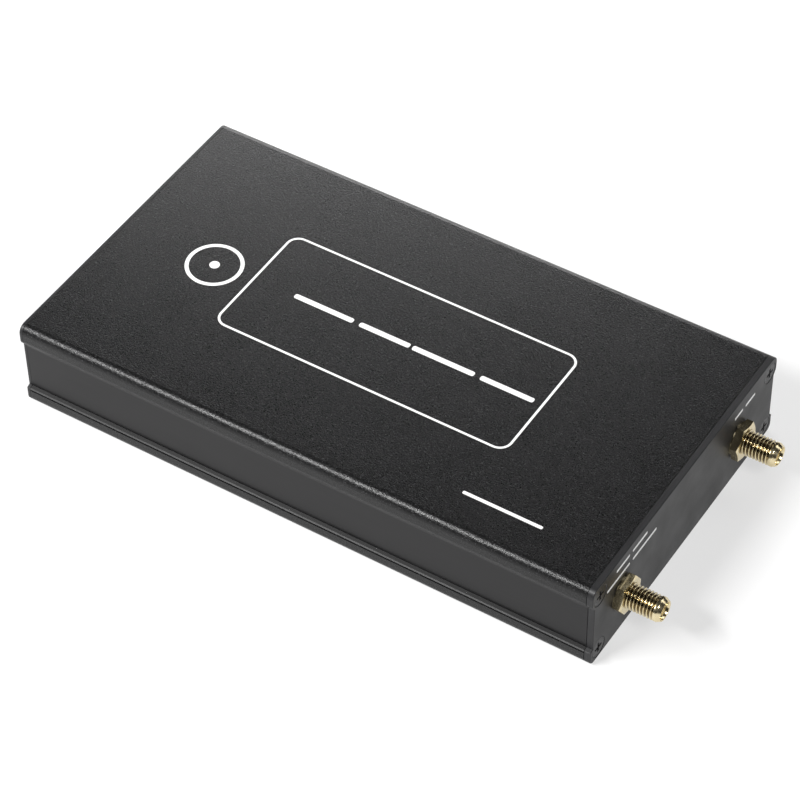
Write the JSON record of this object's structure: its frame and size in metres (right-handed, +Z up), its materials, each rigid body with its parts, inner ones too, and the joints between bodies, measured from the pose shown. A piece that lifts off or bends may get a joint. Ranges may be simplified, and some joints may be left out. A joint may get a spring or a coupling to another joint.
{
  "type": "handheld spectrum analyzer",
  "caption": "Flat black handheld spectrum analyzer: split aluminium case, end plates with screws, gold threaded RF jacks on one end, display, keys and slide switch on the other faces.",
  "frame": {"origin": "centre of the display face, on the plane it rests on", "axes": "+X along the case towards the RF jacks, +Z up out of the label face, +Y across to the side of the input jack"},
  "size_m": [0.1732, 0.088, 0.0254],
  "materials": {
    "case_black": "black anodised aluminium with a fine bead-blasted grain",
    "plate_black": "black anodised aluminium, satin",
    "screw_black": "black oxide",
    "gold": "gold plated, turned",
    "ptfe_white": "turned fluoropolymer",
    "board_green": "solder mask over glass-fibre laminate",
    "tinned_steel": "tinned sheet",
    "chip_black": "moulded epoxy",
    "oscillator_ceramic": "metal-lidded ceramic",
    "ferrite_grey": "pressed ferrite",
    "lens_glass": "dark polished cover glass",
    "gasket_foam": "closed-cell foam",
    "lcd_dark": "switched-off liquid-crystal panel",
    "tray_white": "moulded light-guide frame",
    "cable_film": "polyimide film",
    "connector_cream": "moulded nylon",
    "key_grey": "fine-textured moulding",
    "switch_black": "moulded",
    "plunger_cream": "moulded",
    "led_white": "moulded lens",
    "pipe_clear": "frosted acrylic",
    "tape_white": "adhesive foam tape",
    "battery_foil": "laminated pouch foil",
    "lead_red": "silicone insulation",
    "lead_black": "silicone insulation",
    "print_white": "screen-printed ink"
  },
  "bodies": {
    "case": {"battery": "battery_foil", "battery_lead_negative": "lead_black", "battery_lead_positive": "lead_red", "battery_plug": "connector_cream", "battery_socket": "connector_cream", "battery_tape": "tape_white", "display_cover": "case_black", "display_gasket": "gasket_foam", "display_lens": "lens_glass", "generator_shield": "tinned_steel", "generator_synthesizer": "chip_black", "indicator_led": "led_white", "input_jack_body": "gold", "input_jack_contact": "gold", "input_jack_dielectric": "ptfe_white", "input_jack_nut": "gold", "input_jack_washer": "gold", "key_board": "board_green", "key_board_header": "chip_black", "key_board_screws": "tinned_steel", "key_switch_down": "switch_black", "key_switch_left": "switch_black", "key_switch_ok": "switch_black", "key_switch_right": "switch_black", "key_switch_up": "switch_black", "label_shell": "case_black", "lcd_cable": "cable_film", "lcd_glass": "lcd_dark", "lcd_socket": "connector_cream", "lcd_tray": "tray_white", "light_pipe": "pipe_clear", "local_oscillator": "chip_black", "main_board": "board_green", "microcontroller": "chip_black", "output_jack_body": "gold", "output_jack_contact": "gold", "output_jack_dielectric": "ptfe_white", "output_jack_nut": "gold", "output_jack_washer": "gold", "power_end_plate": "plate_black", "power_end_screws": "screw_black", "power_inductor": "ferrite_grey", "power_switch_body": "switch_black", "receiver_shield": "tinned_steel", "reference_oscillator": "oscillator_ceramic", "rf_end_plate": "plate_black", "rf_end_screws": "screw_black", "usb_socket": "tinned_steel"},
    "key_up": {"key_cap_up": "key_grey", "key_plunger_up": "plunger_cream"},
    "key_down": {"key_cap_down": "key_grey", "key_plunger_down": "plunger_cream"},
    "key_left": {"key_cap_left": "key_grey", "key_plunger_left": "plunger_cream"},
    "key_right": {"key_cap_right": "key_grey", "key_plunger_right": "plunger_cream"},
    "key_ok": {"key_cap_ok": "key_grey", "key_plunger_ok": "plunger_cream"},
    "power_slider": {"power_switch_slider": "switch_black"}
  },
  "joints": [
    {"name": "key_up_press", "type": "slide", "parent": "case", "child": "key_up", "axis": [0, 0, 1], "range_m": [0, 0.00025], "stiffness_N_per_m": 3000, "springref_m": -0.0002},
    {"name": "key_down_press", "type": "slide", "parent": "case", "child": "key_down", "axis": [0, 0, 1], "range_m": [0, 0.00025], "stiffness_N_per_m": 3000, "springref_m": -0.0002},
    {"name": "key_left_press", "type": "slide", "parent": "case", "child": "key_left", "axis": [0, 0, 1], "range_m": [0, 0.00025], "stiffness_N_per_m": 3000, "springref_m": -0.0002},
    {"name": "key_right_press", "type": "slide", "parent": "case", "child": "key_right", "axis": [0, 0, 1], "range_m": [0, 0.00025], "stiffness_N_per_m": 3000, "springref_m": -0.0002},
    {"name": "key_ok_press", "type": "slide", "parent": "case", "child": "key_ok", "axis": [0, 0, 1], "range_m": [0, 0.00025], "stiffness_N_per_m": 3000, "springref_m": -0.0002},
    {"name": "power_switch_slide", "type": "slide", "parent": "case", "child": "power_slider", "axis": [0, 1, 0], "range_m": [0, 0.002]}
  ]
}
